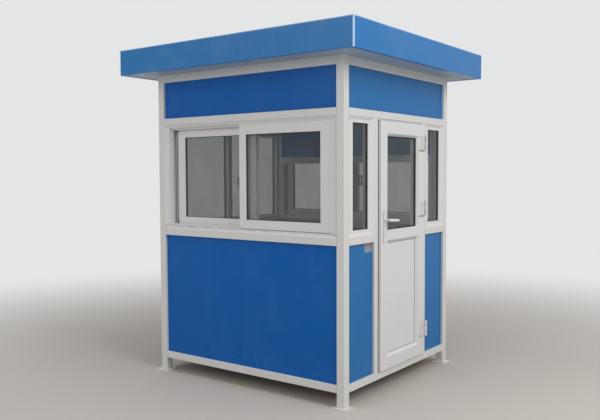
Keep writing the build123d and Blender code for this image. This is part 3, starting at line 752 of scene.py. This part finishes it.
def mitre_seams():
    """The welded mitres of the sliding sashes and of the sidelights."""
    seams = Piece()
    for side in ("front", "rear"):
        shown = panes(side, f"{side}_window_glass")
        for sash in ("outer", "inner"):
            along, up, out = walls[side].ranges(f"{side}_window_{sash}_sash")
            outer = (shrink(along, profile_edge), shrink(up, profile_edge))
            for wall, pane_along, pane_up, pane_out in shown:
                if along[0] < pane_along[0] and pane_along[1] < along[1] and out[0] < pane_out[0] < out[1]:
                    seams_between(seams, wall, (pane_along, pane_up), outer, out[1])
    for (wall, *inner, _), box in zip(panes("right", "sidelight_glass"), solids("sidelight_frames")):
        along, up, out = wall.spans(box)
        outer = (shrink(along, sealant_reach), shrink(up, sealant_reach))
        seams_between(seams, wall, inner, outer, out[1])
    seams.finish("mitre_seams", "booth", "white_plastic")


def door_mitre_seams():
    """The welded mitres at the door leaf's corners."""
    wall, along, up, _ = panes("right", "door_glass")[0]
    kick_up = panes("right", "door_kick_panel")[0][2]
    leaf_along, leaf_up, leaf_out = wall.ranges("door_leaf")
    seams = Piece()
    for a, edge_a in zip(shrink(along, -leaf_bead), shrink(leaf_along, profile_edge)):
        for u, edge_u in ((up[1] + leaf_bead, leaf_up[1] - profile_edge),
                          (kick_up[0] - leaf_bead, leaf_up[0] + profile_edge)):
            seams.stroke(wall, (a, u), (edge_a, edge_u), seam_width,
                         (leaf_out[1] - bite, leaf_out[1] + seam_proud))
    seams.finish("door_mitre_seams", "door", "white_plastic")


def door_seal():
    """The bulb seal on the door frame, which the leaf's flange closes on."""
    along, up, out = walls["right"].ranges("door_frame")
    steps = 8
    bulb = [(seal_middle - seal_half, out[1] - 0.0001)]
    for step in range(steps + 1):
        angle = math.pi * step / steps
        bulb.append((seal_middle - seal_half * math.cos(angle),
                     out[1] + seal_stem + seal_crown * math.sin(angle)))
    bulb.append((seal_middle + seal_half, out[1] - 0.0001))
    seal = Piece()
    seal.arch(walls["right"], along, up, bulb)
    seal.finish("door_seal", "booth", material=rubber)


def lock_plates():
    """The lock's steel face on the leaf's edge, and the strike plate on the frame."""
    wall = walls["right"]
    frame_face = wall.ranges("door_frame")[0][0] + door_frame_face
    up = shrink(wall.ranges("handle_plates")[1], lock_inset)
    middle = wall.ranges("door_leaf")[2][0] + lock_middle
    side = Wall(wall.point(frame_face + latch_gap, 0, 0), -wall.outwards, -wall.run)
    face = Piece()
    face.plate(side, about(-middle, lock_half), up, (-0.0006, 0.0009), 0.0095, 0.0004)
    for low, high, proud in bolts:
        face.plate(side, about(-middle, bolt_half), (low, high), (0, proud), 0.002, 0.0006)
    face.finish("lock_faceplate", "door", material=stainless)

    jamb = Wall(wall.point(frame_face, 0, 0), wall.outwards, wall.run)
    strike = Piece()
    strike.plate(jamb, about(middle, strike_half), shrink(up, -strike_reach),
                 (-0.0004, 0.0007), 0.003, 0.0003)
    strike.finish("strike_plate", "booth", material=stainless)


# The label lies in the top corner of the near panel, beside the doorway
label_panel = walls["right"].ranges("lower_panel_door_near")
label_along, label_up = ((span[1] - inset - size, span[1] - inset)
                         for span, size, inset in zip(label_panel, label_size, label_inset))


def label_print():
    """A plain printed label with nothing on it: a brown band over a pale field."""
    coat = Finish("bare label")
    edge = coat.noise(90.0, 3.0) * 0.004
    band = (coat.z + edge).over(*(label_up[0] + share * label_size[1] for share in label_band))
    worn = coat.patches(120.0, 0.48, 0.66, 4.0)
    pale = coat.mix(worn * 0.6, (0.21, 0.29, 0.41), (0.12, 0.22, 0.36))
    brown = coat.mix(worn * 0.6, (0.25, 0.18, 0.16), (0.34, 0.28, 0.26))
    return coat.surface(coat.mix(band, pale, brown), 0.42, coat.bump(worn, 0.0001, 0.3))


def bare_label():
    """The label's thin plate, with rounded corners."""
    out = label_panel[2][1]
    plate = Piece()
    plate.plate(walls["right"], label_along, label_up, (out - bite, out + 0.0006), 0.004, 0.0003)
    plate.finish("bare_label", "booth", material=label_print())


class Repeat(Graph):
    """A geometry tree with named sizes, which puts copies of a small shape on points."""

    def __init__(self, name, sizes):
        self.group = bpy.data.node_groups.new(name, "GeometryNodeTree")
        super().__init__(self.group)
        sockets = self.group.interface
        sockets.new_socket("Points", in_out="INPUT", socket_type="NodeSocketGeometry")
        sockets.new_socket("Finish", in_out="INPUT", socket_type="NodeSocketMaterial")
        for size, value in sizes.items():
            socket = sockets.new_socket(size, in_out="INPUT", socket_type="NodeSocketFloat")
            socket.default_value = value
        sockets.new_socket("Mesh", in_out="OUTPUT", socket_type="NodeSocketGeometry")
        entry = self.node("NodeGroupInput").socket.node
        self.given = {socket.name: Wire(self, socket) for socket in entry.outputs if socket.name}
        self.sizes = [self.given[size] for size in sizes]
        self.facing = self.node("GeometryNodeInputNamedAttribute", {"data_type": "FLOAT_VECTOR"},
                                {"Name": "facing"})

    def vector(self, x, y, z):
        return self.node("ShaderNodeCombineXYZ", {}, {"X": x, "Y": y, "Z": z})

    def moved(self, shape, up=0.0, size=None):
        """A shape raised along Z, and scaled by a vector where one is given."""
        sockets = {"Geometry": shape, "Translation": self.vector(0.0, 0.0, up)}
        if size:
            sockets["Scale"] = size
        return self.node("GeometryNodeTransform", {}, sockets)

    def cone(self, sides, bottom, top, height, up=0.0):
        made = self.node("GeometryNodeMeshCone", {}, {"Vertices": sides, "Radius Bottom": bottom,
                                                      "Radius Top": top, "Depth": height})
        return self.moved(made, up)

    def joined(self, *shapes):
        return self.node("GeometryNodeJoinGeometry", {}, {"Geometry": list(shapes)})

    def random(self, low, high, seed):
        """A number for each point. Its sockets go by number, because they share their names."""
        sockets = {2: low, 3: high, 8: seed}
        return self.node("FunctionNodeRandomValue", {"data_type": "FLOAT"}, sockets, out=1)

    def facing_turn(self, seed, most):
        """Z along the point's own direction, turned about it by a random amount."""
        align = self.node("FunctionNodeAlignRotationToVector", {"axis": "Z"}, {"Vector": self.facing})
        turn = self.vector(0.0, 0.0, self.random(-most, most, seed))
        spin = self.node("FunctionNodeEulerToRotation", {}, {"Euler": turn})
        return self.node("FunctionNodeRotateRotation", {"rotation_space": "LOCAL"},
                         {"Rotation": align, "Rotate By": spin})

    def close(self, points, instance, rotation, scale=None, smooth=False):
        """Put the shape on the points, as one plain mesh in the given finish."""
        sockets = {"Points": points, "Instance": instance, "Rotation": rotation}
        if scale:
            sockets["Scale"] = scale
        made = self.node("GeometryNodeInstanceOnPoints", {}, sockets)
        made = self.node("GeometryNodeRealizeInstances", {}, {"Geometry": made})
        if smooth:
            made = self.node("GeometryNodeSetShadeSmooth", {}, {"Geometry": made})
        made = self.node("GeometryNodeSetMaterial", {}, {"Geometry": made, "Material": self.given["Finish"]})
        self.node("NodeGroupOutput", {}, {"Mesh": made})

    def heads(self, *shapes, seed, most=3.0):
        """Close the tree with joined shapes on its points, each turned by a random amount."""
        self.close(self.given["Points"], self.joined(*shapes), self.facing_turn(seed, most))
        return self

    def grow(self, name, body, places, slot=None, material=None, edges=(), **sizes):
        """Run the tree on (point, direction) places, and keep the result as a plain mesh."""
        data = bpy.data.meshes.new(name)
        data.from_pydata([place for place, _ in places], edges, [])
        facing = data.attributes.new("facing", "FLOAT_VECTOR", "POINT")
        facing.data.foreach_set("vector", [part for _, way in places for part in way])
        carrier = bpy.data.objects.new(name + ".points", data)
        bpy.context.scene.collection.objects.link(carrier)
        modifier = carrier.modifiers.new("repeat", "NODES")
        modifier.node_group = self.group
        given = {"Finish": material or finishes[slot], **sizes}
        for socket in self.group.interface.items_tree:
            if socket.in_out == "INPUT" and socket.name in given:
                modifier[socket.identifier] = given[socket.name]
        evaluated = carrier.evaluated_get(bpy.context.evaluated_depsgraph_get())
        grown = bpy.data.meshes.new_from_object(evaluated)
        bpy.data.objects.remove(carrier)
        grown.name = name
        settle(name, grown, body)


def screw_tree():
    """A domed screw head with a cross cut in it."""
    tree = Repeat("screw heads", {"Width": screw_head, "Height": 0.0022})
    width, height = tree.sizes
    lower = tree.cone(20, width * 0.50, width * 0.47, height * 0.4)
    upper = tree.cone(20, width * 0.47, width * 0.33, height * 0.6, height * 0.4)
    cross = [tree.moved(tree.node("GeometryNodeMeshCube", {}, {"Size": tree.vector(*size)}), height * 1.02)
             for size in ((width * 0.56, width * 0.12, height), (width * 0.12, width * 0.56, height))]
    cut = tree.node("GeometryNodeMeshBoolean", {"operation": "DIFFERENCE", "solver": "EXACT"},
                    {"Mesh 1": upper, "Mesh 2": cross})
    return tree.heads(lower, cut, seed=7, most=1.5)


def rivet_tree():
    """A pop rivet: a low dome with the broken mandrel in its middle."""
    tree = Repeat("rivets", {"Width": rivet_head, "Height": 0.0018})
    width, height = tree.sizes
    rings = [tree.cone(16, width * 0.50, width * 0.44, height * 0.5),
             tree.cone(16, width * 0.44, width * 0.26, height * 0.5, height * 0.5),
             tree.cone(8, width * 0.13, width * 0.11, height * 0.4, height * 0.9)]
    return tree.heads(*rings, seed=3)


def roof_screw_tree():
    """A hexagon-headed screw on its dished washer."""
    tree = Repeat("roof screws", {"Head": 0.008, "Washer": 0.016})
    head, washer = tree.sizes
    corner = 0.577      # of the head's width, from its middle to a corner
    stack = [tree.cone(20, washer * 0.50, washer * 0.44, 0.0016),
             tree.cone(20, washer * 0.44, washer * 0.36, 0.0014, 0.0016),
             tree.cone(6, head * corner, head * corner, 0.0042, 0.0030),
             tree.cone(6, head * corner, head * 0.47, 0.0008, 0.0072)]
    return tree.heads(*stack, seed=5)


def weld_tree():
    """Overlapping beads of weld along a line."""
    tree = Repeat("weld beads", {"Width": bead_width, "Pitch": bead_pitch})
    width, pitch = tree.sizes
    curve = tree.node("GeometryNodeMeshToCurve", {}, {"Mesh": tree.given["Points"]})
    steps = tree.node("GeometryNodeResampleCurve", {"mode": "LENGTH"}, {"Curve": curve, "Length": pitch})
    drop = tree.node("GeometryNodeMeshUVSphere", {}, {"Segments": 8, "Rings": 5, "Radius": width * 0.5})
    align = tree.node("FunctionNodeAlignRotationToVector", {"axis": "Z"}, {"Vector": tree.facing})
    along = tree.node("FunctionNodeAlignRotationToVector", {"axis": "Y", "pivot_axis": "Z"},
                      {"Rotation": align, "Vector": tree.node("GeometryNodeInputTangent")})
    tree.close(steps, tree.moved(drop, size=tree.vector(1.0, 0.50, 0.42)), along,
               scale=tree.random(0.86, 1.10, seed=11), smooth=True)
    return tree


screws = screw_tree()


def hinge_screws():
    """Five screws in each plate on the door, three in each on the frame."""
    wall = walls["right"]
    leaf_face = wall.ranges("door_leaf")[2][1]
    ends = (-hinge_screw_rise, hinge_screw_rise)
    on_door = []
    on_frame = []
    for door_box, frame_box in zip(solids("hinge_door_leaves"), solids("hinge_frame_leaves")):
        along, up, _ = wall.spans(door_box)
        middle = (up[0] + up[1]) / 2
        places = [(column, rise) for column in door_screw_columns for rise in ends]
        for column, rise in places + [(door_screw_columns[0], 0)]:
            place = wall.point(along[0] + column, middle + rise, leaf_face + hinge_plate)
            on_door.append((place, wall.outwards))
        along, up, _ = wall.spans(frame_box)
        for rise in (ends[0], 0, ends[1]):
            place = wall.point(along[1] - frame_screw_column, middle + rise, hinge_plate)
            on_frame.append((place, wall.outwards))
    screws.grow("hinge_door_screws", "door", on_door, "white_hardware", Width=wood_screw_head)
    screws.grow("hinge_frame_screws", "booth", on_frame, "white_hardware", Width=wood_screw_head)


def handle_screws():
    """A screw near each end of both handle plates."""
    wall = walls["right"]
    along, up, out = wall.ranges("handle_plates")
    middle = (along[0] + along[1]) / 2
    places = []
    for level in shrink(up, handle_screw_inset):
        places.append((wall.point(middle, level, out[1] - cylinder_proud), wall.outwards))
        places.append((wall.point(middle, level, out[0] + cylinder_proud), -wall.outwards))
    screws.grow("handle_screws", "door", places, "white_hardware", Width=screw_head)


def fascia_rivets():
    """Rivets through the fascia's upper and lower lips."""
    low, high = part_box("fascia_front")
    places = []
    for side, wall in walls.items():
        along, _, out = wall.ranges(f"fascia_{side}")
        for a in spaced(along, fascia_margin, rivet_pitch):
            for level, way in ((low.z, -UP), (high.z, UP)):
                places.append((wall.point(a, level, out[1] - rivet_inset), way))
    rivet_tree().grow("fascia_rivets", "booth", places, "fascia_blue")


def roof_screws():
    """Screws with washers along the crest of each roof rib."""
    low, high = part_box("roof_panel")
    pitch = (high.x - low.x) / roof_ribs
    places = [(Vector((low.x + pitch * (rib + 0.5), y, high.z)), UP)
              for rib in range(roof_ribs) for y in spaced((low.y, high.y), roof_margin, roof_screw_pitch)]
    roof_screw_tree().grow("roof_screws", "booth", places, material=zinc)


def foot_welds():
    """A fillet of weld round the foot of each post, and where the lowest rails meet the posts."""
    plate_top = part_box("base_plates")[1].z
    rail_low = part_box("bottom_rails")[0].z
    places = []
    edges = []

    def line(middle, run, way):
        edges.append((len(places), len(places) + 1))
        places.extend((middle + end, way.normalized()) for end in (-run, run))

    for low, high in solids("corner_posts"):
        centre = (low + high) / 2
        inwards = Vector((-centre.x, -centre.y, 0))
        for run, outwards in (((1, 0, 0), (0, 1, 0)), ((0, 1, 0), (1, 0, 0))):
            run = Vector(run) * (post / 2 - bead_shy)
            for out in (-Vector(outwards), Vector(outwards)):
                face = Vector((centre.x, centre.y, 0)) + out * post / 2
                line(face + plate_top * UP + (out + UP) * 0.0008, run, out + UP)
                if out.dot(inwards) > 0:
                    line(face + rail_low * UP + (out - UP) * 0.0006, run, out - UP)
    weld_tree().grow("foot_welds", "booth", places, "white_steel", painted_weld, edges)


# Camera, floor and light
camera_turn = (36.584, 2.898, -0.228)       # to the left, down and over, in degrees
camera_place = (3.3574, -4.5978, 1.5246)
camera_lens = 43.43
backdrop = (0.78, 0.785, 0.79)
ground = (0.53, 0.495, 0.455)
floor_half = 60.0
fade = (1.8, 6.5)           # from the booth's middle, where the floor melts into the backdrop


def camera():
    yaw, pitch, roll = (math.radians(angle) for angle in camera_turn)
    ahead = Vector((-math.sin(yaw) * math.cos(pitch), math.cos(yaw) * math.cos(pitch), -math.sin(pitch)))
    level = Vector((math.cos(yaw), math.sin(yaw), 0))
    rise = level.cross(ahead)
    right = level * math.cos(roll) + rise * math.sin(roll)
    up = rise * math.cos(roll) - level * math.sin(roll)
    data = bpy.data.cameras.new("camera")
    data.lens = camera_lens
    data.sensor_width = 36.0
    data.sensor_fit = "HORIZONTAL"
    data.clip_end = 200.0
    made = bpy.data.objects.new("camera", data)
    made.matrix_world = Matrix([*zip(right, up, -ahead, camera_place), (0, 0, 0, 1)])
    bpy.context.scene.collection.objects.link(made)
    bpy.context.scene.camera = made


def floor():
    """A pale floor that keeps the shadow near the booth and fades out away from it."""
    mesh = bpy.data.meshes.new("floor")
    corners = ((-1, -1), (1, -1), (1, 1), (-1, 1))
    mesh.from_pydata([(x * floor_half, y * floor_half, 0) for x, y in corners], [], [(0, 1, 2, 3)])
    made = bpy.data.objects.new("floor", mesh)
    coat = Finish("pale floor")
    far = coat.node("ShaderNodeVectorMath", {"operation": "LENGTH"}, {0: coat.place}, out=1)
    shade = coat.node("ShaderNodeBsdfPrincipled", {},
                      {"Base Color": coat.mix(coat.noise(1.2, 4.0) * 0.4, ground, scaled(ground, 0.94)),
                       "Roughness": 0.9, "Specular IOR Level": 0.2})
    clear = coat.node("ShaderNodeBsdfTransparent")
    faded = coat.node("ShaderNodeMixShader", {}, {0: far.over(*fade), 1: shade, 2: clear})
    coat.node("ShaderNodeOutputMaterial", {}, {"Surface": faded})
    mesh.materials.append(coat.material)
    bpy.context.scene.collection.objects.link(made)


def lamp(name, place, target, size, power):
    """A soft rectangular lamp that faces its target."""
    data = bpy.data.lights.new(name, "AREA")
    data.shape = "RECTANGLE"
    data.size, data.size_y = size
    data.energy = power
    made = bpy.data.objects.new(name, data)
    made.location = place
    aim = Vector(target) - Vector(place)
    made.rotation_euler = aim.to_track_quat("-Z", "Y").to_euler()
    bpy.context.scene.collection.objects.link(made)


def world():
    """Soft light all round, and a pale backdrop where it is seen, mirrored or looked through to."""
    made = bpy.data.worlds.new("studio")
    made.use_nodes = True
    sky = Graph(made.node_tree)
    light = sky.node("ShaderNodeBackground", {}, {"Color": (0.98, 0.99, 1.0), "Strength": 0.42})
    pale = sky.node("ShaderNodeBackground", {}, {"Color": backdrop})
    shown = sky.node("ShaderNodeMixShader", {},
                     {0: sky.rays("Camera", "Glossy", "Transmission"), 1: light, 2: pale})
    sky.node("ShaderNodeOutputWorld", {}, {"Surface": shown})
    bpy.context.scene.world = made


for make in (glass_gaskets, door_gaskets, sealant_fillets, sash_seals, jamb_buffers, rear_board,
             hinge_washers, mitre_seams, door_mitre_seams, door_seal, lock_plates, bare_label,
             hinge_screws, handle_screws, fascia_rivets, roof_screws, foot_welds, camera, floor, world):
    make()
lamp("side light", place=(6.3, -1.3, 5.2), target=(0.85, 0, 1.2), size=(4.0, 4.5), power=270)
lamp("front light", place=(-1.5, -7.0, 4.4), target=(0, 0, 1.0), size=(5.0, 4.0), power=110)
lamp("top light", place=(0.5, -0.5, 8.0), target=(0, 0, 0), size=(6.0, 6.0), power=170)
bpy.context.scene.view_settings.view_transform = "Standard"
